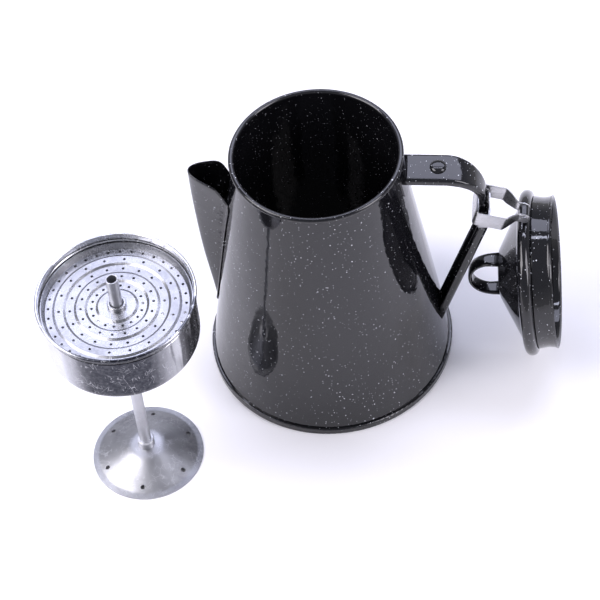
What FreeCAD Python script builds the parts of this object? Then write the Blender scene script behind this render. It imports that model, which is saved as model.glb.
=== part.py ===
"""Enamelled steel coffee percolator: pot, hinged lid, and the pump, basket and spreader that go inside.

Millimetres. +Z is up and the floor is Z = 0. The pot's axis is the Z axis, the handle points to +X and
the spout to -X. The lid hangs open from the handle and the pump unit stands beside the pot.
"""
import FreeCAD, Part
import math
import os

from FreeCAD import Vector

# ---------------------------------------------------------------- driving dimensions
STEEL = 1.2                    # enamelled sheet, all over

# pot
POT_HEIGHT = 199.0             # top of the rolled rim
FOOT_RADIUS = 86.2             # outside of the bottom seam
WALL_FOOT_RADIUS = 85.3        # outside of the wall at Z = 0
WALL_TOP_RADIUS = 55.1         # outside of the wall under the rim
RIM_ROLL = 1.9                 # radius of the rolled rim's section
RIM_CIRCLE = 55.65             # radius of the roll's centre line
SEAM_HEIGHT = 5.5
SEAM_ROUND = 0.8
BOTTOM_SHEET = 1.4

# spout, a gutter pressed from one sheet: height, reach of its ridge, half width at the wall
SPOUT_SECTIONS = (
    (50.0, 79.2, 1.6),
    (75.0, 81.6, 4.2),
    (95.0, 83.5, 6.0),
    (125.0, 85.2, 8.6),
    (155.0, 86.2, 12.5),
    (184.0, 86.4, 18.0),
)
SPOUT_LIP = ((-95.0, 182.6), (-86.4, 181.0), (-66.5, 175.0), (-62.5, 168.0), (-60.0, 158.0))
SPOUT_LIP_ROUND = 3.0
SPOUT_ROOT = 6.0               # how far the filled spout runs in behind the wall
SPOUT_THINNEST = 0.4
SPOUT_FLANGE = 4.0             # width of the weld flange each side
SPOUT_FLANGE_TOP = 160.0
SPOUT_FLANGE_TOP_HALF_WIDTH = 13.3
STRAINER_HOLE = 2.6            # radius
STRAINER_ROWS = ((102.0, 1), (112.0, 2), (122.0, 1), (132.0, 2), (142.0, 3), (152.0, 2), (162.0, 3))
STRAINER_PITCH = 7.6

# handle: two pressed channels that lap at the back
ARM_TOP = 187.0                # upper face of the upper arm
BEND_X = 84.0                  # centre of the upper arm's bend
BEND_RADIUS = 27.0             # outer face of the bend
ARM_END = 147.0                # lower end of the upper arm
CHANNEL_DEPTH = 5.0
CHANNEL_SHEET = 1.3
UPPER_FRONT = ((12.0, 200.0), (12.0, 182.0), (9.4, 176.0), (6.8, 165.0), (4.8, 130.0))   # half width, height
LOWER_HALF_WIDTH = 9.0
LOWER_SLOPE = 0.3125           # X run for each Z of the lower arm
LOWER_BEND_Z = 134.0
LOWER_BEND_RADIUS = 24.0
LAP_TOP = 163.0                # top of the lower arm's lapping tongue
LAP_HALF_WIDTH = 5.6
LAP_ROUND = 4.0
LAP_OVERLAP = 4.0              # how far the tongue runs down behind the flanges
FLANGE_TOP = 146.0             # where the lower arm's flanges begin
RIVET_X = 79.5
RIVET_HEAD = 5.6
RIVET_HEAD_HEIGHT = 2.7
RIVET_HEAD_EDGE = 1.0
RIVET_DOME_ROUND = 3.0
RIVET_SHANK = 2.6
RIVET_TAIL = 4.2
RIVET_TAIL_HEIGHT = 1.4
RIVET_ROUND = 0.8
BRACKET_END = 84.0
BRACKET_HALF_WIDTH = 9.5
PLATE_HALF_WIDTH = 14.0
PLATE_BOTTOM = 171.0
PLATE_TOP = 189.0
PLATE_ROUND = 3.5
CLIP_BOTTOM = 137.8
CLIP_TOP = 150.5
CLIP_SHEET = 0.8
CLIP_GAP = 0.15
CLIP_CORNER = 0.2              # inside

# lid link: a stainless strap looped round the handle
PIVOT_X = 86.0                 # the loop rides round the handle's bend about this point
PIVOT_Z = 155.5
LINK_REACH = 51.7              # pivot to hinge pin
LINK_ANGLE = -15.2             # below +X, at rest
LINK_BAND = 12.0
LINK_SHEET = 0.9
LOOP_INNER = 18.4              # pivot to the inner face of the loop's crosspiece
LOOP_HALF_WIDTH = 12.6         # inside
LOOP_CORNER = 2.0              # inside
LOOP_BEND = 3.0
LOOP_SHOULDER = 38.0
KNUCKLE_START = 47.0
KNUCKLE_HALF_WIDTH = 4.4       # inside
KNUCKLE_RADIUS = 3.9
TAPER_START = 42.0             # where the band starts to narrow towards the knuckles
TAPER_END = 49.7
TAPER_ROUND = 5.0
PIN_RADIUS = 1.6
PIN_HEAD = 2.9
PIN_HEAD_THICK = 1.0
PIN_PLAY = 0.05

# lid, in its closed place
LINK_SWING = 130.0             # turn of the link that brings the lid over the mouth
LID_SWING = 134.6              # turn of the lid that brings it level; hanging, its weight is below the pin
LID_SEAT = POT_HEIGHT + 0.3
BEAD_RADIUS = 57.0
BEAD_HEIGHT = 9.0
BEAD_SHOULDER = 4.5            # width of the bead's flat top
BEAD_FALL = 0.5                # drop of the bead's top towards its edge
BEAD_ROUNDS = (3.0, 3.2, 2.4)
BEAD_JOIN = 52.0               # radius where the dome ends and the bead begins
CROWN_HEIGHT = 25.5            # above the seat
CROWN_RADIUS = 15.0
CROWN_ROUND = 12.0
COLLAR_RADIUS = 52.4
COLLAR_DEPTH = 14.0            # below the seat
COLLAR_WAIST = 1.0             # how far its middle draws in
COLLAR_FLARE = 0.4
COLLAR_ROUND = 12.0
COLLAR_GAP = 0.02              # between the collar's weld edge and the bead
EDGE_ROUND = 0.3               # on thin free edges
EAR_HALF_WIDTH = 3.8
EAR_RADIUS = 3.5
EAR_NECK = 1.4                 # half thickness
LOOP_HANDLE_SPAN = 34.0
LOOP_HANDLE_RISE = 21.5
LOOP_HANDLE_WIDTH = 12.0
LOOP_HANDLE_SHEET = 2.8
LOOP_HANDLE_FLAT = 0.4         # straight run left at the top of the loop

# pump unit
PUMP_X = -121.0
PUMP_Y = -106.0
TUBE_RADIUS = 4.0
TUBE_BORE = 3.2
TUBE_TOP = 197.0
TUBE_FOOT = 4.0
BELL_RADIUS = 38.5
BELL_HEIGHT = 12.5
BELL_SHEET = 0.8
BELL_NECK = 12.0               # radius and drop of the shoulder near the tube
BELL_NECK_DROP = 1.2
BELL_BRIM = 4.0                # width and height of the foot of the slope
BELL_BRIM_HEIGHT = 1.6
BELL_ROUNDS = (20.0, 8.0)
BELL_HOLES = 6
BELL_HOLE_RADIUS = 1.5
BELL_HOLE_CIRCLE = 30.5
FERRULE_RADIUS = 5.8
FERRULE_HEIGHT = 6.0
FERRULE_ROUND = 0.8
STOP_RADIUS = 7.0
STOP_HEIGHT = 3.0
STOP_TAPER = 1.5
STOP_GAP = 0.3                 # under the basket
BASKET_BOTTOM = 135.0
BASKET_RIM = 180.0
BASKET_RADIUS = 50.6
BASKET_SHEET = 0.8
BASKET_ROLL = 1.1
BASKET_ROLL_CIRCLE = 51.0
BASKET_CORNER = 8.0
BASKET_HOLE_RINGS = ((14.0, 10), (22.0, 16), (30.0, 22), (38.0, 28))
BASKET_HOLE_RADIUS = 1.1
SLEEVE_BORE = 4.3
SLEEVE_RADIUS = 5.2
SLEEVE_TOP = 166.0
SPREADER_LEVEL = 170.0
SPREADER_RADIUS = 49.2
SPREADER_SHEET = 0.7
SPREADER_STEP = 0.9
SPREADER_SLANT = 0.8           # half the run of each step
SPREADER_BRIM = 2.0
SPREADER_BRIM_HEIGHT = 3.0
SPREADER_STEPS = (13.0, 20.0, 27.0, 34.0, 41.0)
SPREADER_HOLE_RINGS = ((16.5, 18), (23.5, 18), (30.5, 18), (37.5, 18), (44.5, 36))
SPREADER_HOLE_RADIUS = 0.9
NECK_BORE = 4.4
NECK_RADIUS = 6.2
NECK_BOTTOM = 168.0
NECK_TOP = 172.8
NECK_ROUND = 0.5

# ---------------------------------------------------------------- worked-out sizes
WALL_TOP = POT_HEIGHT - RIM_ROLL
WALL_SLOPE = (WALL_TOP_RADIUS - WALL_FOOT_RADIUS) / WALL_TOP
BEND_Z = ARM_TOP - BEND_RADIUS
ARM_BACK = BEND_X + BEND_RADIUS
LAP_BACK = ARM_BACK + CHANNEL_SHEET
PIVOT = Vector(PIVOT_X, 0, PIVOT_Z)
CLOSED_ANGLE = math.radians(LINK_ANGLE + LINK_SWING)
PIN_CLOSED = PIVOT + Vector(math.cos(CLOSED_ANGLE), 0, math.sin(CLOSED_ANGLE)) * LINK_REACH
SWING_AXIS = Vector(0, -1, 0)
UP = Vector(0, 0, 1)
FAR = 400.0                    # longer than anything that it cuts
PAST = 1.0                     # how far a cutting shape runs past the face that it opens

PLANES = {
    "XZ": (lambda a, b: Vector(a, 0, b), Vector(0, 1, 0)),
    "YZ": (lambda a, b: Vector(0, a, b), Vector(1, 0, 0)),
    "XY": (lambda a, b: Vector(a, b, 0), Vector(0, 0, 1)),
}


# ---------------------------------------------------------------- shared shapes
def outline(corners, plane="XZ"):
    """A closed face through corners (a, b) or (a, b, fillet radius) in a named plane."""
    place = PLANES[plane][0]
    points = [place(corner[0], corner[1]) for corner in corners]
    radii = [corner[2] if len(corner) > 2 else 0.0 for corner in corners]
    edges = []
    first = last = None
    for index, point in enumerate(points):
        before = (points[index - 1] - point).normalize()
        after = (points[(index + 1) % len(points)] - point).normalize()
        start = end = point
        arc = None
        if radii[index] > 0:
            half = before.getAngle(after) / 2
            start = point + before * (radii[index] / math.tan(half))
            end = point + after * (radii[index] / math.tan(half))
            centre = point + (before + after).normalize() * (radii[index] / math.sin(half))
            middle = centre + (point - centre).normalize() * radii[index]
            arc = Part.Arc(start, middle, end).toShape()
        if last is None:
            first = start
        elif last.distanceToPoint(start) > 1e-6:
            edges.append(Part.LineSegment(last, start).toShape())
        if arc:
            edges.append(arc)
        last = end
    edges.append(Part.LineSegment(last, first).toShape())
    return Part.Face(Part.Wire(edges))


def prism(corners, plane, low, high):
    """A face in a named plane, stretched along the plane's normal from low to high."""
    normal = PLANES[plane][1]
    face = outline(corners, plane)
    face.translate(normal * low)
    return face.extrude(normal * (high - low))


def mirrored(side):
    """Corners on one side of the centre line followed by their mirror images."""
    return side + [(-across, along) for across, along in reversed(side)]


def lathe(corners, x=0.0, y=0.0):
    """A solid turned from corners (radius, height) about the upright axis through x, y."""
    solid = outline(corners).revolve(Vector(0, 0, 0), UP, 360)
    solid.translate(Vector(x, y, 0))
    return solid


def bar(radius, start, end):
    """A round bar between two points."""
    return Part.makeCylinder(radius, (end - start).Length, start, end - start)


def wall_radius(height, out=0.0):
    """Radius of the pot wall's outer face at a height, moved outwards by a distance."""
    return WALL_FOOT_RADIUS + WALL_SLOPE * height + out


def cone(out, low=-10.0, high=230.0):
    """The solid inside the pot wall's outer face, or inside a face offset from it."""
    return Part.makeCone(wall_radius(low, out), wall_radius(high, out), high - low, Vector(0, 0, low), UP)


def ring_of_bars(radius, rings, low, high, x, y):
    """Upright bars in rings (circle radius, count), as one compound for drilling."""
    bars = []
    for circle, count in rings:
        for index in range(count):
            turn = 2 * math.pi * (index + 0.5) / count
            spot = Vector(x + circle * math.cos(turn), y + circle * math.sin(turn), low)
            bars.append(Part.makeCylinder(radius, high - low, spot, UP))
    return Part.makeCompound(bars)


# ---------------------------------------------------------------- pot
def pot_wall():
    """Tapered wall with a rolled rim, and strainer holes behind the spout."""
    foot = BOTTOM_SHEET
    wall = lathe([
        (wall_radius(foot), foot),
        (wall_radius(WALL_TOP), WALL_TOP),
        (wall_radius(WALL_TOP) - STEEL, WALL_TOP),
        (wall_radius(foot) - STEEL, foot),
    ])
    roll = Part.makeTorus(RIM_CIRCLE, RIM_ROLL, Vector(0, 0, WALL_TOP), UP)
    return wall.fuse(roll).cut(strainer_holes())


def strainer_holes():
    """Bars along X through the wall, in staggered rows."""
    bars = []
    for height, count in STRAINER_ROWS:
        for index in range(count):
            side = (index - (count - 1) / 2) * STRAINER_PITCH
            bars.append(bar(STRAINER_HOLE, Vector(-FAR, side, height), Vector(0, side, height)))
    return Part.makeCompound(bars)


def pot_bottom():
    """Flat bottom whose edge is turned up round the foot of the wall."""
    return lathe([
        (0, 0),
        (FOOT_RADIUS, 0, SEAM_ROUND),
        (FOOT_RADIUS, SEAM_HEIGHT, SEAM_ROUND),
        (wall_radius(SEAM_HEIGHT), SEAM_HEIGHT),
        (wall_radius(BOTTOM_SHEET), BOTTOM_SHEET),
        (0, BOTTOM_SHEET),
    ])


def spout_solid(inset):
    """The filled spout, smaller by inset, running inside the wall."""
    sections = []
    for height, reach, half_width in SPOUT_SECTIONS:
        root = wall_radius(height) - SPOUT_ROOT
        nose = reach - inset
        width = max(half_width - inset, SPOUT_THINNEST)
        depth = max(nose - wall_radius(height), SPOUT_THINNEST)
        points = []
        for step in range(-8, 9):
            side = step / 8.0
            points.append(Vector(-nose + depth * side * side, width * side, height))
        curve = Part.BSplineCurve()
        curve.interpolate(points)
        back = [points[-1], Vector(-root, points[-1].y, height), Vector(-root, points[0].y, height), points[0]]
        edges = [curve.toShape()]
        edges += [Part.LineSegment(a, b).toShape() for a, b in zip(back, back[1:])]
        sections.append(Part.Wire(edges))
    return Part.makeLoft(sections, True, False)


def spout():
    """Open-topped gutter with a weld flange down each side."""
    shell = spout_solid(0.0).cut(spout_solid(STEEL))
    side = [(half_width, height) for height, _, half_width in SPOUT_SECTIONS if height < SPOUT_FLANGE_TOP]
    top = (SPOUT_FLANGE_TOP_HALF_WIDTH, SPOUT_FLANGE_TOP)
    outer = mirrored([(width + SPOUT_FLANGE, height) for width, height in side + [top]])
    inner = mirrored([(width - STEEL, height) for width, height in side[1:]] + [(top[0] - STEEL, POT_HEIGHT)])
    flange = prism(outer, "YZ", -FAR, 0).cut(prism(inner, "YZ", -FAR, 0)).common(cone(STEEL))
    gutter = shell.fuse(flange).cut(cone(0.0))
    above = [(-FAR, FAR), (-FAR, SPOUT_LIP[0][1])] + [(x, z, SPOUT_LIP_ROUND) for x, z in SPOUT_LIP[1:-1]]
    above += [SPOUT_LIP[-1], (0, SPOUT_LIP[-1][1]), (0, FAR)]
    gutter = gutter.cut(prism(above, "XZ", -FAR, FAR))
    return max(gutter.Solids, key=lambda solid: solid.Volume)


# ---------------------------------------------------------------- handle
def upper_arm_side(inset, mouth):
    """Side profile of the upper channel: its back face moved in by inset, its open side by mouth."""
    top = ARM_TOP - inset
    back = ARM_BACK - inset
    depth = CHANNEL_DEPTH + mouth
    return [
        (0, top), (back, top, BEND_RADIUS - inset), (back, ARM_END - mouth),
        (ARM_BACK - depth, ARM_END - mouth), (ARM_BACK - depth, ARM_TOP - depth, BEND_RADIUS - depth),
        (0, ARM_TOP - depth),
    ]


def upper_arm_front(inset):
    """Front profile of the upper channel, which narrows towards its lower end."""
    return mirrored([(width - inset, height) for width, height in UPPER_FRONT])


def rivet_hole():
    """Bar through the upper arm's top and whatever lies under it."""
    return bar(RIVET_SHANK, Vector(RIVET_X, 0, BEND_Z), Vector(RIVET_X, 0, FAR))


def handle_upper_arm():
    """Channel that leaves the pot level, bends down and narrows; it opens towards the pot."""
    outer = prism(upper_arm_side(0.0, 0.0), "XZ", -FAR, FAR)
    outer = outer.common(prism(upper_arm_front(0.0), "YZ", 0, FAR))
    inner = prism(upper_arm_side(CHANNEL_SHEET, PAST), "XZ", -FAR, FAR)
    inner = inner.common(prism(upper_arm_front(CHANNEL_SHEET), "YZ", 0, FAR))
    arm = outer.cut(inner).cut(cone(STEEL))
    return arm.cut(rivet_hole())


def lower_arm_side(inset, mouth):
    """Side profile of the lower channel, straight down and then sloping in to the wall."""
    back = LAP_BACK - inset
    depth = CHANNEL_DEPTH + CHANNEL_SHEET + mouth
    slant = math.sqrt(1 + LOWER_SLOPE ** 2)
    turn = (slant - 1) / LOWER_SLOPE
    front = LAP_BACK - depth
    foot = 0.0
    return [
        (back, LAP_TOP + mouth), (back, LOWER_BEND_Z + inset * turn, LOWER_BEND_RADIUS - inset),
        (back - LOWER_SLOPE * (LOWER_BEND_Z + inset * turn - foot), foot),
        (front - LOWER_SLOPE * (LOWER_BEND_Z + depth * turn - foot), foot),
        (front, LOWER_BEND_Z + depth * turn, LOWER_BEND_RADIUS - depth),
        (front, LAP_TOP + mouth),
    ]


def handle_lower_arm():
    """Channel from the back of the upper arm down to the wall, with a tongue that laps the upper arm."""
    width = LOWER_HALF_WIDTH
    channel = prism(lower_arm_side(0.0, 0.0), "XZ", -width, width)
    hollow = width - CHANNEL_SHEET
    channel = channel.cut(prism(lower_arm_side(CHANNEL_SHEET, PAST), "XZ", -hollow, hollow))
    tongue = [
        (-LAP_HALF_WIDTH, FLANGE_TOP - LAP_OVERLAP), (LAP_HALF_WIDTH, FLANGE_TOP - LAP_OVERLAP),
        (LAP_HALF_WIDTH, LAP_TOP, LAP_ROUND), (-LAP_HALF_WIDTH, LAP_TOP, LAP_ROUND),
    ]
    tongue = prism(tongue, "YZ", ARM_BACK, LAP_BACK)
    below = Part.makeBox(FAR, FAR, FLANGE_TOP, Vector(0, -FAR / 2, 0))
    arm = channel.common(below).fuse(tongue).removeSplitter()
    return arm.cut(cone(0.0))


def handle_root_bracket():
    """Plate welded to the wall, with a tongue that the upper arm is riveted to."""
    side = [(PLATE_HALF_WIDTH, PLATE_BOTTOM, PLATE_ROUND), (PLATE_HALF_WIDTH, PLATE_TOP, PLATE_ROUND)]
    mirror = [(-half_width, height, radius) for half_width, height, radius in reversed(side)]
    plate = prism(side + mirror, "YZ", 0, FAR)
    plate = plate.common(cone(STEEL)).cut(cone(0.0))
    under = ARM_TOP - CHANNEL_SHEET
    corner = Vector(0, -BRACKET_HALF_WIDTH, under - STEEL)
    tongue = Part.makeBox(BRACKET_END, 2 * BRACKET_HALF_WIDTH, STEEL, corner)
    bracket = plate.fuse(tongue.cut(cone(STEEL / 2)))
    return bracket.cut(rivet_hole())


def handle_rivet():
    """Domed rivet through the upper arm and the bracket's tongue."""
    under = ARM_TOP - CHANNEL_SHEET - STEEL
    tail = under - RIVET_TAIL_HEIGHT
    top = ARM_TOP + RIVET_HEAD_HEIGHT
    return lathe([
        (0, tail), (RIVET_TAIL, tail, RIVET_ROUND), (RIVET_TAIL, under),
        (RIVET_SHANK, under), (RIVET_SHANK, ARM_TOP), (RIVET_HEAD, ARM_TOP),
        (RIVET_HEAD, ARM_TOP + RIVET_HEAD_EDGE, RIVET_ROUND),
        (RIVET_HEAD - RIVET_SHANK, top, RIVET_DOME_ROUND), (0, top),
    ], RIVET_X)


def clip_plan(out, corner):
    """Plan of the two arms' joint, moved outwards by a distance, with rounded corners."""
    front = LAP_BACK - CHANNEL_DEPTH - CHANNEL_SHEET - out
    back = LAP_BACK + out
    half = LOWER_HALF_WIDTH + out
    return [(front, -half, corner), (back, -half, corner), (back, half, corner), (front, half, corner)]


def handle_clip():
    """Stainless band round the joint of the two arms."""
    outer = prism(clip_plan(CLIP_GAP + CLIP_SHEET, CLIP_CORNER + CLIP_SHEET), "XY", CLIP_BOTTOM, CLIP_TOP)
    inner = prism(clip_plan(CLIP_GAP, CLIP_CORNER), "XY", CLIP_BOTTOM - PAST, CLIP_TOP + PAST)
    return outer.cut(inner)


# ---------------------------------------------------------------- link
def to_link(shape):
    """Turn a shape drawn along +X from the pivot into the link's resting direction."""
    shape.rotate(Vector(0, 0, 0), SWING_AXIS, LINK_ANGLE)
    shape.translate(PIVOT)
    return shape


def loop_plan(out):
    """Plan of the strap loop's inner face, moved outwards by a distance."""
    wide = LOOP_HALF_WIDTH + out
    narrow = KNUCKLE_HALF_WIDTH + out
    start = LOOP_INNER - out
    end = LINK_REACH + KNUCKLE_RADIUS + (PAST if out == 0 else 0)
    corner = LOOP_CORNER + out
    return [
        (start, -wide, corner), (LOOP_SHOULDER, -wide, LOOP_BEND), (KNUCKLE_START, -narrow, LOOP_BEND),
        (end, -narrow), (end, narrow),
        (KNUCKLE_START, narrow, LOOP_BEND), (LOOP_SHOULDER, wide, LOOP_BEND), (start, wide, corner),
    ]


def hinge_link():
    """Strap bent into a loop, its two ends side by side as the hinge's knuckles."""
    half = LINK_BAND / 2
    band = prism(loop_plan(LINK_SHEET), "XY", -half, half)
    band = band.cut(prism(loop_plan(0.0), "XY", -half - PAST, half + PAST))
    end = LINK_REACH + KNUCKLE_RADIUS
    low = [
        (0, -half), (TAPER_START, -half, TAPER_ROUND), (TAPER_END, -KNUCKLE_RADIUS, TAPER_ROUND),
        (LINK_REACH, -KNUCKLE_RADIUS),
    ]
    high = [
        (LINK_REACH, KNUCKLE_RADIUS), (TAPER_END, KNUCKLE_RADIUS, TAPER_ROUND),
        (TAPER_START, half, TAPER_ROUND), (0, half),
    ]
    across = Vector(0, FAR, 0)
    spot = Vector(LINK_REACH, 0, 0)
    side = prism(low + high, "XZ", -FAR, FAR).fuse(bar(KNUCKLE_RADIUS, spot - across, spot + across))
    return to_link(band.common(side).cut(bar(PIN_RADIUS, spot - across, spot + across)))


def hinge_pin():
    """Headed pin held by the link's knuckles; the lid's ear turns on it."""
    reach = KNUCKLE_HALF_WIDTH + LINK_SHEET
    spot = Vector(LINK_REACH, 0, 0)
    inside = Vector(0, reach, 0)
    outside = Vector(0, reach + PIN_HEAD_THICK, 0)
    pin = bar(PIN_RADIUS, spot - outside, spot + outside)
    pin = pin.fuse(bar(PIN_HEAD, spot + inside, spot + outside))
    pin = pin.fuse(bar(PIN_HEAD, spot - outside, spot - inside))
    return to_link(pin.removeSplitter())


# ---------------------------------------------------------------- lid
def hang(shape):
    """Swing a lid piece from its closed place on the rim to where it hangs from the link."""
    shape.rotate(PIN_CLOSED, SWING_AXIS, -LID_SWING)
    shape.rotate(PIVOT, SWING_AXIS, -LINK_SWING)
    return shape


def dome_profile(inset):
    """Half section of the lid's top, its upper face moved in by inset."""
    crown = LID_SEAT + CROWN_HEIGHT - inset
    bead_top = LID_SEAT + BEAD_HEIGHT - inset
    bead = BEAD_RADIUS - inset
    step, upper, lower = BEAD_ROUNDS
    return [
        (0, crown), (CROWN_RADIUS, crown, CROWN_ROUND),
        (BEAD_RADIUS - BEAD_SHOULDER, bead_top - BEAD_FALL, step),
        (bead, bead_top - 2 * BEAD_FALL, upper - inset / 2), (bead, LID_SEAT + inset, lower - inset / 2),
    ]


def solid_lid():
    """The space filled by the dome down to the seat."""
    return lathe(dome_profile(0.0) + [(0, LID_SEAT)])


def lid_shell():
    """The pressed sheet of the lid's top, in its closed place."""
    inner_edge = COLLAR_RADIUS - STEEL
    mouth = [(inner_edge, LID_SEAT + STEEL), (inner_edge, LID_SEAT - PAST), (0, LID_SEAT - PAST)]
    return solid_lid().cut(lathe(dome_profile(STEEL) + mouth))


def within_join():
    """Everything inside the bead, above the middle of its height."""
    return Part.makeCylinder(BEAD_JOIN, FAR, Vector(0, 0, LID_SEAT + BEAD_HEIGHT / 2), UP)


def lid_dome():
    """Crown and cone of the lid."""
    return hang(lid_shell().common(within_join()))


def lid_bead():
    """Hollow rounded bead round the dome's edge."""
    return hang(lid_shell().cut(within_join()))


def lid_collar():
    """Upright collar that drops inside the pot's mouth, welded under the bead."""
    high = LID_SEAT - COLLAR_GAP
    middle = LID_SEAT - COLLAR_DEPTH / 2
    low = LID_SEAT - COLLAR_DEPTH
    waist = COLLAR_RADIUS - COLLAR_WAIST
    flare = COLLAR_RADIUS + COLLAR_FLARE
    return hang(lathe([
        (COLLAR_RADIUS - STEEL, high), (COLLAR_RADIUS, high),
        (waist, middle, COLLAR_ROUND), (flare, low, EDGE_ROUND),
        (flare - STEEL, low, EDGE_ROUND), (waist - STEEL, middle, COLLAR_ROUND),
    ]))


def loop_handle_side(inset, low):
    """Front view of the finger loop moved in by inset, running down to a height."""
    half = LOOP_HANDLE_SPAN / 2 - inset
    top = LID_SEAT + CROWN_HEIGHT + LOOP_HANDLE_RISE - inset
    bend = half - LOOP_HANDLE_FLAT / 2
    return [(-half, low), (-half, top, bend), (half, top, bend), (half, low)]


def lid_loop_handle():
    """Strap bent into a finger loop on the crown."""
    width = LOOP_HANDLE_WIDTH / 2
    strap = prism(loop_handle_side(0.0, LID_SEAT), "XZ", -width, width)
    inner = loop_handle_side(LOOP_HANDLE_SHEET, LID_SEAT - PAST)
    strap = strap.cut(prism(inner, "XZ", -width - PAST, width + PAST))
    return hang(strap.cut(solid_lid()))


def lid_ear():
    """Eye on the bead's edge that turns on the hinge pin."""
    width = EAR_HALF_WIDTH
    pin_x, pin_z = PIN_CLOSED.x, PIN_CLOSED.z
    across = Vector(0, width, 0)
    eye = bar(EAR_RADIUS, PIN_CLOSED - across, PIN_CLOSED + across)
    root = BEAD_RADIUS - BEAD_SHOULDER
    neck = [
        (root, pin_z - EAR_NECK), (pin_x, pin_z - EAR_NECK), (pin_x, pin_z + EAR_NECK), (root, pin_z + EAR_NECK),
    ]
    ear = eye.fuse(prism(neck, "XZ", -width, width)).cut(solid_lid())
    ear = ear.cut(bar(PIN_RADIUS + PIN_PLAY, PIN_CLOSED - across * 2, PIN_CLOSED + across * 2))
    return hang(max(ear.Solids, key=lambda piece: piece.Volume))


# ---------------------------------------------------------------- pump unit
def pump_tube():
    """Riser tube."""
    return lathe([(TUBE_BORE, TUBE_FOOT), (TUBE_RADIUS, TUBE_FOOT), (TUBE_RADIUS, TUBE_TOP, EDGE_ROUND),
                  (TUBE_BORE, TUBE_TOP, EDGE_ROUND)], PUMP_X, PUMP_Y)


def bell_line(inset):
    """Half section of the bell's upper face from the tube to its foot, moved down and in by inset."""
    neck, brim = BELL_ROUNDS
    return [
        (TUBE_RADIUS, BELL_HEIGHT - inset), (BELL_NECK, BELL_HEIGHT - BELL_NECK_DROP - inset, neck),
        (BELL_RADIUS - BELL_BRIM - inset / 2, BELL_BRIM_HEIGHT - inset, brim),
    ]


def pump_bell():
    """Shallow domed bell that stands on the pot's floor, with steam holes near its edge."""
    foot = [(BELL_RADIUS, BELL_SHEET), (BELL_RADIUS, 0), (BELL_RADIUS - 1.5 * BELL_SHEET, 0)]
    bell = lathe(bell_line(0.0) + foot + bell_line(BELL_SHEET)[::-1], PUMP_X, PUMP_Y)
    rings = ((BELL_HOLE_CIRCLE, BELL_HOLES),)
    return bell.cut(ring_of_bars(BELL_HOLE_RADIUS, rings, -PAST, BELL_HEIGHT, PUMP_X, PUMP_Y))


def bell_ferrule():
    """Collar that crimps the tube into the bell."""
    low = BELL_HEIGHT
    return lathe([(TUBE_RADIUS, low), (FERRULE_RADIUS, low), (FERRULE_RADIUS, low + FERRULE_HEIGHT, FERRULE_ROUND),
                  (TUBE_RADIUS, low + FERRULE_HEIGHT)], PUMP_X, PUMP_Y)


def basket_stop():
    """Ring on the tube that the basket rests on."""
    top = BASKET_BOTTOM - STOP_GAP
    low = top - STOP_HEIGHT
    return lathe([(TUBE_RADIUS, low), (STOP_RADIUS - STOP_TAPER, low, EDGE_ROUND),
                  (STOP_RADIUS, top, EDGE_ROUND), (TUBE_RADIUS, top)], PUMP_X, PUMP_Y)


def basket_shell():
    """Coffee basket: a drawn cup with a rolled rim and a drilled bottom."""
    out = BASKET_RADIUS
    inner = out - BASKET_SHEET
    floor = BASKET_BOTTOM + BASKET_SHEET
    rim = BASKET_RIM - BASKET_ROLL
    cup = lathe([
        (SLEEVE_RADIUS, BASKET_BOTTOM), (out, BASKET_BOTTOM, BASKET_CORNER), (out, rim),
        (inner, rim), (inner, floor, BASKET_CORNER - BASKET_SHEET), (SLEEVE_RADIUS, floor),
    ], PUMP_X, PUMP_Y)
    roll = Part.makeTorus(BASKET_ROLL_CIRCLE, BASKET_ROLL, Vector(PUMP_X, PUMP_Y, rim), UP)
    holes = ring_of_bars(BASKET_HOLE_RADIUS, BASKET_HOLE_RINGS, BASKET_BOTTOM - PAST, floor + PAST, PUMP_X, PUMP_Y)
    return cup.fuse(roll).cut(holes)


def basket_sleeve():
    """Guide in the middle of the basket that slips over the tube."""
    return lathe([(SLEEVE_BORE, BASKET_BOTTOM), (SLEEVE_RADIUS, BASKET_BOTTOM), (SLEEVE_RADIUS, SLEEVE_TOP, EDGE_ROUND),
                  (SLEEVE_BORE, SLEEVE_TOP)], PUMP_X, PUMP_Y)


def spreader_profile(level):
    """Stepped line of the spreader from its middle outwards, at a level."""
    points = [(NECK_RADIUS, level)]
    for index, radius in enumerate(SPREADER_STEPS):
        low = level - SPREADER_STEP if index % 2 == 0 else level
        high = level if index % 2 == 0 else level - SPREADER_STEP
        points += [(radius - SPREADER_SLANT, high), (radius + SPREADER_SLANT, low)]
    return points


def spreader_plate():
    """Drilled plate with pressed rings that lies in the basket's mouth."""
    top = SPREADER_LEVEL
    sheet = SPREADER_SHEET
    brim = SPREADER_RADIUS - SPREADER_BRIM
    floor = top - SPREADER_STEP
    edge = top + SPREADER_BRIM_HEIGHT
    under = [(radius, height - sheet) for radius, height in spreader_profile(top)]
    under += [(brim, floor - sheet), (SPREADER_RADIUS, edge)]
    over = [(SPREADER_RADIUS - sheet, edge), (brim - sheet, floor)] + spreader_profile(top)[::-1]
    plate = lathe(under + over, PUMP_X, PUMP_Y)
    holes = ring_of_bars(SPREADER_HOLE_RADIUS, SPREADER_HOLE_RINGS, floor - sheet - PAST, edge, PUMP_X, PUMP_Y)
    return plate.cut(holes)


def spreader_neck():
    """Short eyelet in the spreader that guides it on the tube."""
    return lathe([(NECK_BORE, NECK_BOTTOM), (NECK_RADIUS, NECK_BOTTOM), (NECK_RADIUS, NECK_TOP, NECK_ROUND),
                  (NECK_BORE, NECK_TOP, NECK_ROUND)], PUMP_X, PUMP_Y)


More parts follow.
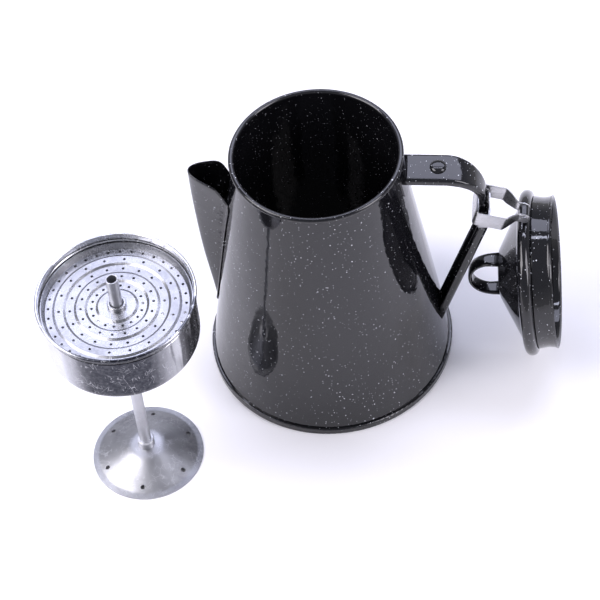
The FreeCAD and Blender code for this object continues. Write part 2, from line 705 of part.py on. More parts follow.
PIECES = (
    pot_wall, pot_bottom, spout,
    handle_upper_arm, handle_lower_arm, handle_root_bracket, handle_rivet, handle_clip,
    hinge_link, hinge_pin,
    lid_dome, lid_bead, lid_collar, lid_loop_handle, lid_ear,
    pump_tube, pump_bell, bell_ferrule, basket_stop,
    basket_shell, basket_sleeve, spreader_plate, spreader_neck,
)

os.makedirs("parts", exist_ok=True)
for piece in PIECES:
    piece().exportStep("parts/%s.step" % piece.__name__)
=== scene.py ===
"""Enamelled coffee percolator with its lid open and its pump unit standing beside it.

Metres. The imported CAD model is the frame: +Z is up, the pot stands on the origin, its handle points to +X.
"""

import math

import bpy
import bmesh
from mathutils import Matrix, Vector


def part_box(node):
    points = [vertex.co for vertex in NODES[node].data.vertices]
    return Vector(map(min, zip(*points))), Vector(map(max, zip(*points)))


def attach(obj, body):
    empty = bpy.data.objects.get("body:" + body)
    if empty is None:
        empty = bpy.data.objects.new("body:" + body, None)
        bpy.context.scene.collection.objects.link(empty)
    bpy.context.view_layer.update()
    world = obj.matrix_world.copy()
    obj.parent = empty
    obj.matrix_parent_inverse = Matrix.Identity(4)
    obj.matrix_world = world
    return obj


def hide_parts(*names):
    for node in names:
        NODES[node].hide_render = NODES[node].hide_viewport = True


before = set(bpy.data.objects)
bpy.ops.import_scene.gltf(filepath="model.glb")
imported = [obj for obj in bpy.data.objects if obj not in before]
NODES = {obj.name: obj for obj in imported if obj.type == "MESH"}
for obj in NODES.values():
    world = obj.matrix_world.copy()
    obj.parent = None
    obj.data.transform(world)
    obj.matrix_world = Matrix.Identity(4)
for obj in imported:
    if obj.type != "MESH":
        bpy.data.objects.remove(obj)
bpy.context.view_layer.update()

MM = 0.001
ENAMEL_WHITE = (0.74, 0.76, 0.80, 1.0)
ENAMEL_BLACK = (0.0065, 0.0065, 0.0080, 1.0)
FLECKS = (
    # spacing, largest radius, share of the spots with a fleck, seed, brightness
    (0.0022, 0.00039, 0.72, 0.11, 0.70),
    (0.0033, 0.00049, 0.68, 0.37, 1.0),
    (0.0085, 0.00074, 0.66, 0.73, 1.0),
)
SCRATCH_WHITE = (0.78, 0.79, 0.82, 1.0)
# dark tone of the tarnish patches, and of the painted reflection bands on the basket's side
TARNISH_AND_REFLECTION_BLACK = (0.030, 0.032, 0.042, 1.0)
STEEL_LIGHT = (0.56, 0.56, 0.575, 1.0)
STEEL_DARK = (0.36, 0.36, 0.375, 1.0)
SCRATCH_WIDTH = 0.030
# scale and tilt from upright, in degrees
SCRATCHES = ((250.0, 12.0), (300.0, 58.0), (270.0, -37.0))
BASKET_GROOVE_HEIGHT = 0.1752
BASKET_GROOVE_HALF_WIDTH, BASKET_GROOVE_DEPTH = 0.0011, 0.0009
# directions the basket's side faces for its dark middle and edge bands of painted reflection
BASKET_DARK_MIDDLE, BASKET_DARK_EDGE = (0.16, -1.0, 0), (0.95, -0.30, 0)
PUMP_AXIS = (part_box("pump_tube")[0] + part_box("pump_tube")[1]) / 2


# ---------------------------------------------------------------- node graphs
class Graph:
    """A material's node tree, with short ways to add and link nodes."""

    def __init__(self, name):
        self.material = bpy.data.materials.new(name)
        self.material.use_nodes = True
        self.tree = self.material.node_tree
        self.tree.nodes.clear()
        self.output = self.tree.nodes.new("ShaderNodeOutputMaterial")
        self.shader = self.tree.nodes.new("ShaderNodeBsdfPrincipled")
        self.tree.links.new(self.shader.outputs[0], self.output.inputs[0])
        self.coords = self.tree.nodes.new("ShaderNodeTexCoord").outputs["Object"]

    def put(self, socket, value):
        """Link a value's socket, or set a plain value."""
        if isinstance(value, bpy.types.NodeSocket):
            self.tree.links.new(value, socket)
        else:
            socket.default_value = value

    def set(self, **values):
        """Set the shader's inputs by name, with _ for a space."""
        for name, value in values.items():
            self.put(self.shader.inputs[name.replace("_", " ")], value)

    def add(self, kind, inputs, **settings):
        """A new node with its inputs set by name or number; returns the node."""
        node = self.tree.nodes.new("ShaderNode" + kind)
        for name, value in settings.items():
            setattr(node, name, value)
        for name, value in inputs.items():
            self.put(node.inputs[name], value)
        return node

    def math(self, operation, a, b=0.0):
        return self.add("Math", {0: a, 1: b}, operation=operation).outputs[0]

    def vector(self, operation, a, b=(0, 0, 0), output=0):
        return self.add("VectorMath", {0: a, 1: b}, operation=operation).outputs[output]

    def highest(self, first, *others):
        """The largest of some values."""
        for other in others:
            first = self.math("MAXIMUM", first, other)
        return first

    def ramp(self, value, low, high, to_low=0.0, to_high=1.0):
        """Value from low..high mapped to to_low..to_high, held at the ends."""
        inputs = {"Value": value, "From Min": low, "From Max": high, "To Min": to_low, "To Max": to_high}
        return self.add("MapRange", inputs).outputs[0]

    def noise(self, scale, detail=2.0, rough=0.5, vector=None):
        inputs = {"Vector": vector or self.coords, "Scale": scale, "Detail": detail, "Roughness": rough}
        return self.add("TexNoise", inputs).outputs["Fac"]

    def mix(self, factor, a, b):
        """Colours a and b mixed by factor."""
        inputs = {0: factor, 6: a, 7: b}
        return self.add("Mix", inputs, data_type="RGBA").outputs[2]

    def stretch(self, scale, centre=(0, 0, 0)):
        """Object coordinates about a centre, scaled along each axis."""
        return self.vector("MULTIPLY", self.vector("SUBTRACT", self.coords, tuple(centre)), scale)

    def bump(self, height, distance, strength=1.0, normal=None):
        inputs = {"Height": height, "Distance": distance, "Strength": strength}
        if normal:
            inputs["Normal"] = normal
        return self.add("Bump", inputs).outputs[0]


def dots(graph, cell, largest, share, seed, mask=None):
    """1 inside scattered round dots. cell and largest radius in metres, share of the cells with a dot."""
    moved = graph.vector("ADD", graph.coords, (seed, seed * 0.7, seed * 0.3))
    inputs = {"Vector": moved, "Scale": 1.0 / cell, "Randomness": 1.0}
    cells = graph.add("TexVoronoi", inputs, feature="F1", voronoi_dimensions="3D")
    pick = graph.add("SeparateColor", {0: cells.outputs["Color"]}).outputs[0]
    radius = graph.ramp(pick, 1.0 - share, 1.0, 0.4 * largest / cell, largest / cell)
    radius = graph.math("MULTIPLY", radius, graph.math("GREATER_THAN", pick, 1.0 - share))
    if mask:
        radius = graph.math("MULTIPLY", radius, mask)
    inside = graph.math("SUBTRACT", radius, cells.outputs["Distance"])
    return graph.ramp(inside, 0.0, 0.04)


def enamel(name):
    """Black glass enamel with white flecks, slightly wavy over the pressed sheet."""
    graph = Graph(name)
    clusters = graph.ramp(graph.noise(30.0, 2.0), 0.38, 0.60, 0.84, 1.08)
    sizes = []
    for cell, largest, share, seed, brightness in FLECKS:
        spots = dots(graph, cell, largest, share, seed, clusters)
        sizes.append(graph.math("MULTIPLY", spots, brightness))
    flecks = graph.highest(*sizes)
    faint = graph.ramp(graph.noise(420.0, 1.0), 0.30, 0.55, 0.60, 1.0)
    graph.set(Base_Color=graph.mix(graph.math("MULTIPLY", flecks, faint), ENAMEL_BLACK, ENAMEL_WHITE))
    haze = graph.noise(70.0, 4.0, 0.6)
    graph.set(Roughness=graph.ramp(haze, 0.35, 0.75, 0.035, 0.10), IOR=1.56)
    waves = graph.bump(graph.noise(26.0, 2.0, 0.45), 0.00055)
    dimples = graph.bump(graph.noise(80.0, 2.0), 0.00010, 1.0, waves)
    peel = graph.bump(graph.noise(190.0, 2.0), 0.00005, 1.0, dimples)
    graph.set(Normal=graph.bump(flecks, 0.00003, 0.6, peel))
    return graph.material


def scratches(graph, scale, tilt):
    """Short thin wandering lines: 1 on a line. They run at a tilt, in degrees, from upright."""
    turn = {"Vector": graph.coords, "Axis": (0.25, 1.0, 0.0), "Angle": math.radians(tilt)}
    rotated = graph.add("VectorRotate", turn, rotation_type="AXIS_ANGLE").outputs[0]
    base = graph.vector("MULTIPLY", rotated, (1.2, 0.9, 0.16))
    warp = graph.math("MULTIPLY", graph.noise(scale * 0.7, 2.0, 0.5, base), 0.0025)
    shift = graph.add("CombineXYZ", {0: warp, 1: warp, 2: 0.0}).outputs[0]
    inputs = {"Vector": graph.vector("ADD", base, shift), "Scale": scale}
    edges = graph.add("TexVoronoi", inputs, feature="DISTANCE_TO_EDGE")
    line = graph.ramp(edges.outputs["Distance"], 0.0, SCRATCH_WIDTH, 1.0, 0.0)
    gate = graph.ramp(graph.noise(scale * 0.5, 1.0, 0.5, rotated), 0.585, 0.63)
    return graph.math("MULTIPLY", line, gate)


def facing(graph, towards, start, end, wobble):
    """1 on the parts of the pump's round sides that face a direction, fading out with ragged edges."""
    flat = graph.vector("NORMALIZE", graph.stretch((1, 1, 0), PUMP_AXIS))
    aim = tuple(Vector(towards).normalized())
    dot = graph.vector("DOT_PRODUCT", flat, aim, "Value")
    streaks = graph.noise(120.0, 2.0, 0.5, graph.stretch((1.0, 1.0, 0.10), PUMP_AXIS))
    return graph.ramp(graph.math("ADD", dot, graph.ramp(streaks, 0.3, 0.7, -wobble, wobble)), start, end)


def basket_painted_reflection(graph, grain):
    """Painted reflection on the basket's side: a dark middle and a dark right edge, where it would mirror
    darker surroundings.
    """
    middle = graph.math("MULTIPLY", facing(graph, BASKET_DARK_MIDDLE, 0.66, 0.92, 0.02), 0.99)
    middle = graph.math("MULTIPLY", middle, graph.ramp(grain, 0.35, 0.60, 0.93, 1.0))
    edge = graph.math("MULTIPLY", facing(graph, BASKET_DARK_EDGE, 0.94, 0.98, 0.06), 0.85)
    return graph.highest(middle, edge)


def basket_groove(graph, normal):
    """The groove pressed round the basket below its rim."""
    height = graph.add("SeparateXYZ", {0: graph.coords}).outputs["Z"]
    off = graph.math("ABSOLUTE", graph.math("SUBTRACT", height, BASKET_GROOVE_HEIGHT))
    return graph.bump(graph.ramp(off, 0.0, BASKET_GROOVE_HALF_WIDTH), BASKET_GROOVE_DEPTH, 1.0, normal)


def tool_rings(graph, normal):
    """Fine rings left by a turning tool about the pump's axis."""
    away = graph.vector("LENGTH", graph.stretch((1, 1, 0), PUMP_AXIS), output="Value")
    return graph.bump(graph.math("SINE", graph.math("MULTIPLY", away, 9000.0)), 0.000010, 0.6, normal)


def aluminium(name, rough=0.2, side=False, rings=False, tarnish=0.3, light=0.62):
    """Pressed aluminium: tool marks, handling scratches, rubbed and dull patches; on a basket side, painted
    dark reflection bands as well.
    """
    graph = Graph(name)
    hairs = graph.noise(1300.0, 2.0, 0.6, graph.stretch((1.0, 1.0, 0.02), PUMP_AXIS))
    patches = graph.noise(30.0, 3.0, 0.55)
    grain = graph.noise(420.0, 3.0, 0.65)
    nicks = graph.math("MULTIPLY", dots(graph, 0.0032, 0.00032, 0.5, 0.21), 0.8)
    marks = graph.highest(nicks, *[scratches(graph, scale, tilt) for scale, tilt in SCRATCHES])
    dull = graph.ramp(patches, 0.44, 0.66, 0.0, tarnish)
    shade = graph.math("MULTIPLY", dull, graph.ramp(grain, 0.35, 0.6, 0.5, 1.0))
    # painted reflection: the basket's side gets dark bands where it would mirror darker surroundings
    if side:
        shade = graph.highest(graph.math("MULTIPLY", shade, 0.5), basket_painted_reflection(graph, grain))
    worn_and_reflection = graph.mix(shade, (light, light * 1.01, light * 1.06, 1.0), TARNISH_AND_REFLECTION_BLACK)
    graph.set(Base_Color=graph.mix(graph.math("MULTIPLY", marks, 0.48), worn_and_reflection, SCRATCH_WHITE), Metallic=1.0)
    roughness = graph.ramp(patches, 0.3, 0.7, rough - 0.04, rough + 0.07)
    roughness = graph.math("ADD", roughness, graph.math("MULTIPLY", marks, 0.15))
    graph.set(Roughness=graph.math("ADD", roughness, graph.ramp(hairs, 0.3, 0.7, -0.03, 0.04)))
    normal = graph.bump(graph.noise(30.0, 2.0, 0.5), 0.0004)
    normal = graph.bump(hairs, 0.00002, 0.5, normal)
    if side:
        normal = basket_groove(graph, normal)
    if rings:
        normal = tool_rings(graph, normal)
    graph.set(Normal=graph.bump(marks, -0.00004, 0.6, normal))
    return graph.material


def brushed(name):
    """Stainless strap, brushed along its length."""
    graph = Graph(name)
    grain = graph.noise(900.0, 3.0, 0.6, graph.stretch((0.06, 1.0, 1.6)))
    blotch = graph.noise(60.0, 3.0)
    graph.set(Base_Color=graph.mix(graph.ramp(blotch, 0.35, 0.7), STEEL_LIGHT, STEEL_DARK))
    graph.set(Metallic=1.0, Anisotropic=0.4)
    graph.set(Roughness=graph.ramp(grain, 0.3, 0.7, 0.22, 0.38))
    normal = graph.bump(grain, 0.00003, 0.6)
    graph.set(Normal=graph.bump(graph.noise(45.0, 2.0), 0.0003, 0.6, normal))
    return graph.material


ENAMEL = enamel("enamel")
BRIGHT = aluminium("bright_aluminium", rough=0.20, side=True, tarnish=0.25, light=0.68)
SPUN = aluminium("spun_aluminium", rough=0.26, rings=True, tarnish=0.30, light=0.40)
SATIN = aluminium("satin_aluminium", rough=0.38, rings=True, tarnish=0.45, light=0.42)
TUBE = aluminium("tube_aluminium", rough=0.46, tarnish=0.10, light=0.58)
STAINLESS = brushed("stainless")

NODE_MATERIALS = {
    "hinge_link": STAINLESS, "hinge_pin": STAINLESS, "handle_clip": STAINLESS,
    "pump_tube": TUBE, "bell_ferrule": TUBE, "basket_stop": TUBE, "basket_sleeve": TUBE,
    "pump_bell": SATIN, "basket_shell": BRIGHT, "spreader_plate": SPUN, "spreader_neck": SPUN,
}
for name, node in NODES.items():
    node.data.materials.clear()
    node.data.materials.append(NODE_MATERIALS.get(name, ENAMEL))


# ---------------------------------------------------------------- sizes in millimetres, as in the CAD model
STEEL = 1.2
WALL_FOOT_RADIUS, WALL_TOP_RADIUS, WALL_TOP = 85.3, 55.1, 197.1

# up the spout: (height, reach from the pot's axis) and (height, half width); along its lip: (x, height)
SPOUT_REACH = (
    (40.0, 78.9), (50.0, 79.3), (75.0, 81.6), (95.0, 83.5), (125.0, 85.2), (155.0, 86.2), (184.0, 86.5),
)
SPOUT_HALF_WIDTH = (
    (40.0, 0.9), (50.0, 1.7), (75.0, 4.2), (95.0, 6.0), (125.0, 8.6), (155.0, 12.5), (184.0, 18.0),
)
SPOUT_LIP = ((-95.0, 182.2), (-86.4, 180.7), (-76.0, 178.2), (-66.5, 174.6), (-62.4, 167.0), (-60.0, 158.0))
SPOUT_FOOT, SPOUT_FLANGE, SPOUT_LIP_START = 46.0, 4.0, 170.0

ARM_TOP, BEND_X, BEND_RADIUS, ARM_END = 187.0, 84.0, 27.0, 147.0
ARM_DEPTH, ARM_SHEET, ARM_CORNER, ARM_LEVEL, ARM_WALL_GAP = 5.0, 1.3, 2.6, 26.0, 0.3
# (height, half width) down the upper arm
UPPER_HALF_WIDTH = (
    (140.0, 5.3), (147.0, 5.5), (165.0, 6.7), (176.0, 8.9), (183.7, 11.1), (187.0, 12.0), (190.0, 12.0),
)
LOWER_HALF_WIDTH, LOWER_SLOPE, LOWER_CORNER, LOWER_FOOT = 9.0, 0.3125, 3.4, 40.0
LOWER_BEND_Z, LOWER_BEND_RADIUS = 134.0, 24.0
NECK_START, NECK_LENGTH, NECK_IN = 141.0, 7.5, 2.6
LAP_TOP, FLANGE_TOP, LAP_HALF_WIDTH, LAP_FOOT_THICK, LAP_TIP_THICK = 163.0, 146.0, 5.7, 2.6, 1.4
LAP_ROUND_START = 0.72
RIVET_X, RIVET_SHANK = 79.5, 2.55
RIVET_HEAD, RIVET_RISE, RIVET_TAIL, RIVET_TAIL_RISE = 5.5, 2.65, 4.15, 1.35

PIVOT = Vector((86.0, 0, 155.5))
LINK_REACH, LINK_ANGLE, LINK_BAND, LINK_SHEET = 51.7, -15.2, 12.0, 0.9
LOOP_INNER, LOOP_HALF_WIDTH, LOOP_SHOULDER = 18.4, 12.6, 38.0
KNUCKLE_START, KNUCKLE_HALF_WIDTH, KNUCKLE_RADIUS = 47.0, 4.4, 3.9
KNUCKLE_ROOT, KNUCKLE_BLEND = 4.0, 8.0
LINK_SWING, LID_SWING = 130.0, 134.6
SEAT, BEAD_RADIUS, BEAD_HEIGHT, BEAD_ROUND, CROWN = 199.3, 57.0, 9.0, 4.3, 224.8
COLLAR_RADIUS, COLLAR_DEPTH = 52.4, 14.0
LOOP_HANDLE_SPAN, LOOP_HANDLE_RISE, LOOP_HANDLE_WIDTH, LOOP_HANDLE_SHEET = 34.0, 21.5, 12.0, 2.8
LOOP_HANDLE_SUNK, LOOP_HANDLE_FOOT, LOOP_HANDLE_WAIST = 1.2, 9.0, 0.86
SWING_AXIS = Vector((0, -1, 0))
CLOSED = math.radians(LINK_ANGLE + LINK_SWING)
PIN_CLOSED = PIVOT + Vector((math.cos(CLOSED), 0, math.sin(CLOSED))) * LINK_REACH


def about(point, degrees):
    """A turn about the swing axis through a point."""
    turn = Matrix.Rotation(math.radians(degrees), 4, SWING_AXIS)
    return Matrix.Translation(point) @ turn @ Matrix.Translation(-point)


HANG = about(PIVOT, -LINK_SWING) @ about(PIN_CLOSED, -LID_SWING)
TO_LINK = Matrix.Translation(PIVOT) @ Matrix.Rotation(math.radians(LINK_ANGLE), 4, SWING_AXIS)


# ---------------------------------------------------------------- shared mesh building
def wall_radius(height):
    """Outer radius of the pot's wall."""
    return WALL_FOOT_RADIUS + (WALL_TOP_RADIUS - WALL_FOOT_RADIUS) * height / WALL_TOP


def curve_through(table, at):
    """Smooth value at a place from a table of (place, value), held at its ends."""
    spots = [row[0] for row in table]
    values = [row[1] for row in table]
    at = min(max(at, spots[0]), spots[-1])
    index = max(i for i in range(len(spots) - 1) if spots[i] <= at)
    span = spots[index + 1] - spots[index]

    def slope(i):
        low, high = max(i - 1, 0), min(i + 1, len(spots) - 1)
        return (values[high] - values[low]) / (spots[high] - spots[low])

    t = (at - spots[index]) / span
    start, end = values[index], values[index + 1]
    leaving, arriving = slope(index) * span, slope(index + 1) * span
    through = ((2 * t - 3) * t * t + 1) * start + (3 - 2 * t) * t * t * end
    return through + ((t - 2) * t + 1) * t * leaving + (t - 1) * t * t * arriving


def arc(cx, cy, radius, start, end, steps):
    """Points on an arc, angles in degrees."""
    angles = [math.radians(start + (end - start) * i / steps) for i in range(steps + 1)]
    return [(cx + radius * math.cos(angle), cy + radius * math.sin(angle)) for angle in angles]


def spun(centre, spoke, angle):
    """The end of a flat spoke turned about a centre."""
    cos, sin = math.cos(angle), math.sin(angle)
    return (centre.x + spoke.x * cos - spoke.y * sin, centre.y + spoke.x * sin + spoke.y * cos)


def heading(line, index):
    """Direction of a line of points at one of them."""
    before, after = Vector(line[max(index - 1, 0)]), Vector(line[min(index + 1, len(line) - 1)])
    return (after - before).normalized()


def rounded(corners, steps=7):
    """An open line through (a, b) or (a, b, radius) corners, with each radius turned into an arc."""
    points = []
    for index, corner in enumerate(corners):
        here = Vector(corner[:2])
        if len(corner) < 3 or index in (0, len(corners) - 1):
            points.append(tuple(here))
            continue
        before = (Vector(corners[index - 1][:2]) - here).normalized()
        after = (Vector(corners[index + 1][:2]) - here).normalized()
        half = before.angle(after) / 2
        radius = corner[2]
        centre = here + (before + after).normalized() * (radius / math.sin(half))
        start = here + before * (radius / math.tan(half)) - centre
        end = here + after * (radius / math.tan(half)) - centre
        turn = math.atan2(start.x * end.y - start.y * end.x, start.dot(end))
        points += [spun(centre, start, turn * step / steps) for step in range(steps + 1)]
    return points


def thickened(line, thickness, steps=4):
    """A closed outline: the line, a round end, the line moved to its left by a thickness, a round end."""
    left = []
    for index, point in enumerate(line):
        along = heading(line, index)
        left.append((point[0] - along.y * thickness, point[1] + along.x * thickness))

    def round_end(start, end):
        a, b = Vector(start), Vector(end)
        return [spun((a + b) / 2, (a - b) / 2, math.pi * step / steps) for step in range(1, steps)]

    return list(line) + round_end(line[-1], left[-1]) + left[::-1] + round_end(left[0], line[0])


def skin(name, loops, material, closed=False, matrix=None):
    """A smooth mesh object of quads between successive closed loops of points given in millimetres."""
    shape = bmesh.new()
    rings = [[shape.verts.new(Vector(point)) for point in loop] for loop in loops]
    pairs = list(zip(rings, rings[1:]))
    if closed:
        pairs.append((rings[-1], rings[0]))
    for ring, after in pairs:
        for index in range(len(ring)):
            following = (index + 1) % len(ring)
            shape.faces.new((ring[index], ring[following], after[following], after[index]))
    if not closed:
        shape.faces.new(rings[0])
        shape.faces.new(list(reversed(rings[-1])))
    bmesh.ops.remove_doubles(shape, verts=shape.verts, dist=1e-5)
    bmesh.ops.recalc_face_normals(shape, faces=shape.faces)
    return finished(name, shape, material, matrix)


def finished(name, shape, material, matrix=None):
    """The object for a bmesh built in millimetres, moved by a matrix."""
    shape.transform(Matrix.Scale(MM, 4) @ (matrix or Matrix.Identity(4)))
    for face in shape.faces:
        face.smooth = True
    mesh = bpy.data.meshes.new(name)
    shape.to_mesh(mesh)
    shape.free()
    mesh.materials.append(material)
    piece = bpy.data.objects.new(name, mesh)
    bpy.context.scene.collection.objects.link(piece)
    return piece


def stood(section, spot, out):
    """A section of (across, outwards) points stood at a spot (x, z), with outwards along out."""
    return [Vector((spot[0] + out[0] * n, s, spot[1] + out[1] * n)) for s, n in section]


def turned(name, outline, material, centre=(0, 0), segments=160, matrix=None):
    """A closed outline of (radius, height) turned about an upright axis."""
    loops = []
    for step in range(segments):
        angle = 2 * math.pi * step / segments
        cos, sin = math.cos(angle), math.sin(angle)
        loops.append([(centre[0] + r * cos, centre[1] + r * sin, z) for r, z in outline])
    return skin(name, loops, material, True, matrix)


def place(piece, body, slot, *nodes):
    """Ride a body and stand for CAD nodes, which are hidden; the slot is not used."""
    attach(piece, body)
    if nodes:
        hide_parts(*nodes)
    return piece


# ---------------------------------------------------------------- handle
def channel_section(half, depth, sheet, corner):
    """Closed outline (across, outwards) of a pressed channel with round corners and round lips."""
    lip = -depth + sheet / 2
    left, right = (-half + corner, -corner), (half - corner, -corner)
    outline = arc(*left, corner, 180, 90, 8) + arc(*right, corner, 90, 0, 8)
    outline += arc(half - sheet / 2, lip, sheet / 2, 0, -180, 4)
    outline += arc(*right, corner - sheet, 0, 90, 8) + arc(*left, corner - sheet, 90, 180, 8)
    return outline + arc(-half + sheet / 2, lip, sheet / 2, 0, -180, 4)


def onto_wall(point, along, out):
    """Slide a point along a direction until it meets the pot wall's outer face, moved out by a distance."""
    low, high = -60.0, 60.0
    for _ in range(40):
        middle = (low + high) / 2
        spot = point + along * middle
        if math.hypot(spot.x, spot.y) > wall_radius(spot.z) + out:
            low = middle
        else:
            high = middle
    return point + along * low


def upper_arm():
    """The upper arm: level from the wall, then bent down, and narrower towards its lower end."""
    back, bend_z = BEND_X + BEND_RADIUS, ARM_TOP - BEND_RADIUS
    stations = [((BEND_X - ARM_LEVEL + ARM_LEVEL * i / 12, ARM_TOP), (0, 1)) for i in range(13)]
    for i in range(1, 33):
        angle = math.radians(90 - 90 * i / 32)
        out = (math.cos(angle), math.sin(angle))
        stations.append(((BEND_X + out[0] * BEND_RADIUS, bend_z + out[1] * BEND_RADIUS), out))
    stations += [((back, bend_z - (bend_z - ARM_END) * i / 6), (1, 0)) for i in range(1, 7)]
    loops = []
    for spot, out in stations:
        half = curve_through(UPPER_HALF_WIDTH, spot[1])
        loops.append(stood(channel_section(half, ARM_DEPTH, ARM_SHEET, ARM_CORNER), spot, out))
    loops[0] = [onto_wall(point, Vector((-1, 0, 0)), ARM_WALL_GAP) for point in loops[0]]
    return place(skin("upper_arm", loops, ENAMEL), "pot", "enamel", "handle_upper_arm")


def lower_arm():
    """The lower arm: a channel from the clip down to the wall."""
    back = BEND_X + BEND_RADIUS + ARM_SHEET
    foot = (back - LOWER_SLOPE * (LOWER_BEND_Z - LOWER_FOOT), LOWER_FOOT)
    line = rounded([(back, FLANGE_TOP + 2.5), (back, LOWER_BEND_Z, LOWER_BEND_RADIUS), foot], 12)
    run = Vector(line[-1]) - Vector(line[-2])
    line = line[:-1] + [tuple(Vector(line[-2]) + run * i / 14) for i in range(1, 15)]
    loops = []
    for index, spot in enumerate(line):
        along = heading(line, index)
        half = LOWER_HALF_WIDTH - NECK_IN * max(0.0, (spot[1] - NECK_START) / NECK_LENGTH) ** 1.5
        section = channel_section(half, ARM_DEPTH + ARM_SHEET, ARM_SHEET, LOWER_CORNER)
        loops.append(stood(section, spot, (-along.y, along.x)))
    loops[-1] = [onto_wall(point, Vector((along.x, 0, along.y)), 0.0) for point in loops[-1]]
    return place(skin("lower_arm", loops, ENAMEL), "pot", "enamel", "handle_lower_arm")


def lap_tongue():
    """The lower arm's tongue, pressed flat against the back of the upper arm, with a round tip."""
    back = BEND_X + BEND_RADIUS + 0.05
    foot = FLANGE_TOP - 3
    sides = [k / 5 for k in range(-5, 6)]
    loops = []
    for i in range(15):
        t = i / 14
        z = foot + (LAP_TOP - foot) * t
        into_tip = max(0.0, (t - LAP_ROUND_START) / (1 - LAP_ROUND_START))
        half = LAP_HALF_WIDTH * math.sqrt(max(1 - into_tip ** 2, 0.0)) + 0.02
        thick = LAP_FOOT_THICK - (LAP_FOOT_THICK - LAP_TIP_THICK) * t
        face = [(back + thick * (1 - 0.35 * (s * s)), half * s, z) for s in sides]
        loops.append(face + [(back, half * s, z) for s in reversed(sides)])
    return place(skin("lap_tongue", loops, ENAMEL), "pot", "enamel")


def rivet():
    """Glossy domed rivet head, with a flat tail under the bracket."""
    under = ARM_TOP - ARM_SHEET - STEEL
    tail_foot = under - RIVET_TAIL_RISE
    outline = [(0.0, tail_foot), (3.3, tail_foot)] + arc(3.5, under - 0.7, 0.65, -90, 0, 5)
    outline += [(RIVET_TAIL, under), (RIVET_SHANK, under + 0.1), (RIVET_SHANK, ARM_TOP - 0.1)]
    outline += [(RIVET_HEAD - 0.1, ARM_TOP - 0.1), (RIVET_HEAD + 0.05, ARM_TOP + 0.2)]
    for angle in (math.radians(7.5 * i) for i in range(12)):
        rise = 0.3 + 2.35 * math.sin(angle) ** 0.9
        outline.append((RIVET_HEAD * math.cos(angle) ** 0.85, ARM_TOP + rise))
    outline.append((0.0, ARM_TOP + RIVET_RISE))
    return place(turned("rivet", outline, ENAMEL, (RIVET_X, 0.0), 48), "pot", "enamel", "handle_rivet")


# ---------------------------------------------------------------- link
def link_line():
    """Middle line of the strap, from one end at the pin round the loop to the other, in even steps."""
    wide, narrow = LOOP_HALF_WIDTH + LINK_SHEET / 2, KNUCKLE_HALF_WIDTH + LINK_SHEET / 2
    start, end = LOOP_INNER - LINK_SHEET / 2, LINK_REACH + KNUCKLE_RADIUS
    corners = [(end, narrow), (KNUCKLE_START, narrow, 3.5), (LOOP_SHOULDER, wide, 3.5),
               (start, wide, 2.6), (start, 0)]
    side = rounded(corners, 6)
    half = [side[0]]
    for a, b in zip(side, side[1:]):
        count = max(1, int((Vector(b) - Vector(a)).length / 1.2))
        half += [tuple(Vector(a).lerp(Vector(b), i / count)) for i in range(1, count + 1)]
    return half + [(x, -y) for x, y in reversed(half[:-1])]


def link_half_height(x):
    """Half the strap's height: level along the loop, narrower at the knuckle and round about the pin."""
    if x > LINK_REACH - KNUCKLE_ROOT:
        past_pin = max(0.0, x - LINK_REACH)
        return math.sqrt(max(KNUCKLE_RADIUS ** 2 - past_pin ** 2, 0.04))
    blend = min(max((LINK_REACH - KNUCKLE_ROOT - x) / KNUCKLE_BLEND, 0.0), 1.0)
    return KNUCKLE_RADIUS + (LINK_BAND / 2 - KNUCKLE_RADIUS) * blend * blend * (3 - 2 * blend)


def strap_link():
    """Stainless strap bent to a loop, with rounded edges."""
    line = link_line()
    thick = LINK_SHEET / 2
    loops = []
    for index, (x, y) in enumerate(line):
        along = heading(line, index)
        tall = link_half_height(x)
        edge = min(thick, tall) * 0.98
        outline = arc(0, tall - edge, thick, 0, 180, 6) + arc(0, -tall + edge, thick, 180, 360, 6)
        loops.append([(x - along.y * a, y + along.x * a, min(max(b, -tall), tall)) for a, b in outline])
    return place(skin("strap_link", loops, STAINLESS, matrix=TO_LINK), "link", "stainless", "hinge_link")


# ---------------------------------------------------------------- lid
def lid_top():
    """Pressed dome with a round bead."""
    line = rounded([
        (0.0, CROWN), (15.5, CROWN, 13.0), (46.5, SEAT + 10.0, 5.0),
        (50.2, SEAT + BEAD_HEIGHT - 0.2, 1.6), (BEAD_RADIUS, SEAT + BEAD_HEIGHT, BEAD_ROUND),
        (BEAD_RADIUS, SEAT, BEAD_ROUND), (COLLAR_RADIUS - 0.6, SEAT),
    ], 9)
    outline = [(max(radius, 0.0), height) for radius, height in thickened(line, -STEEL)]
    piece = turned("lid_top", outline, ENAMEL, segments=192, matrix=HANG)
    return place(piece, "lid", "enamel", "lid_dome", "lid_bead")


def lid_skirt():
    """Collar, drawn in a little at the middle and flared at its free edge."""
    foot = SEAT - COLLAR_DEPTH
    line = rounded([
        (COLLAR_RADIUS, SEAT + 0.4), (COLLAR_RADIUS, SEAT - 1.0, 1.5),
        (COLLAR_RADIUS - 1.0, SEAT - 7.0, 10.0), (COLLAR_RADIUS - 0.6, foot + 2.8, 3.0),
        (COLLAR_RADIUS + 0.2, foot + 0.7),
    ], 7)
    piece = turned("lid_skirt", thickened(line, -STEEL), ENAMEL, segments=192, matrix=HANG)
    return place(piece, "lid", "enamel", "lid_collar")


